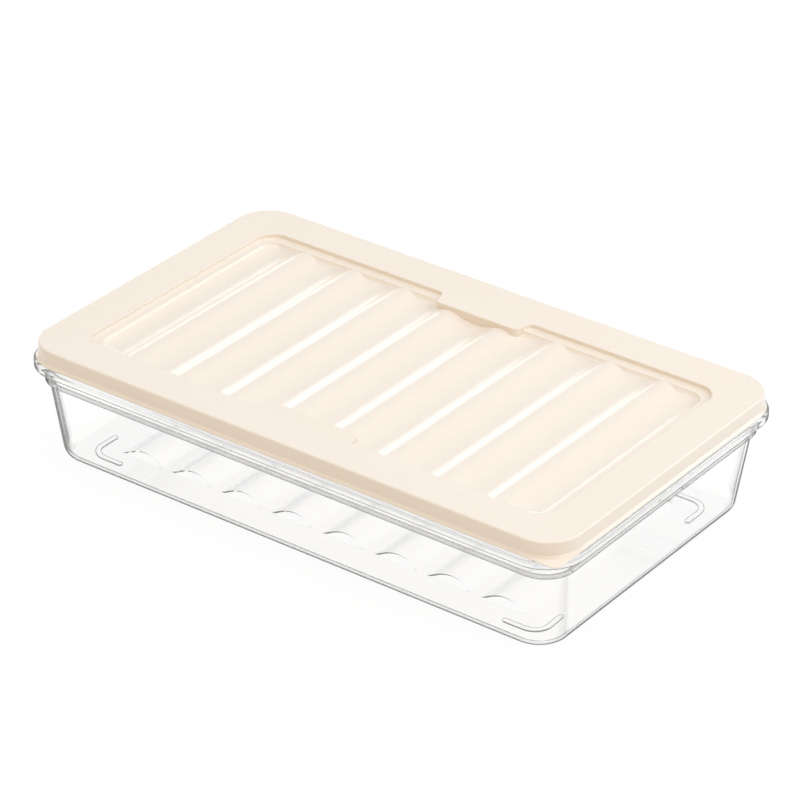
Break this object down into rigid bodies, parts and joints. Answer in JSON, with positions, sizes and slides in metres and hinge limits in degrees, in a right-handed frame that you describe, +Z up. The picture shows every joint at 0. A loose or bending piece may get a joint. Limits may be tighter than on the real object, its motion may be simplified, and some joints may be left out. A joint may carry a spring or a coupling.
{
  "type": "food storage box",
  "caption": "Low rectangular food keeper: a clear moulded box with a rolled rim, under an opaque lid with a fluted sunken panel that lifts straight off.",
  "frame": {"origin": "under the middle of the box, on the plane that its feet rest on", "axes": "+X along the length, +Y across the width towards the back, +Z up; the lid's lift corner is at +X, -Y"},
  "size_m": [0.3, 0.1826, 0.0617],
  "materials": {
    "clear_plastic": "polished, clear",
    "cream_plastic": "satin"
  },
  "bodies": {
    "box": {"box": "clear_plastic"},
    "lid": {"lid": "cream_plastic"}
  },
  "joints": [
    {"name": "lid_lift", "type": "slide", "parent": "box", "child": "lid", "axis": [0, 0, 1], "range_m": [0, 0.08]}
  ]
}
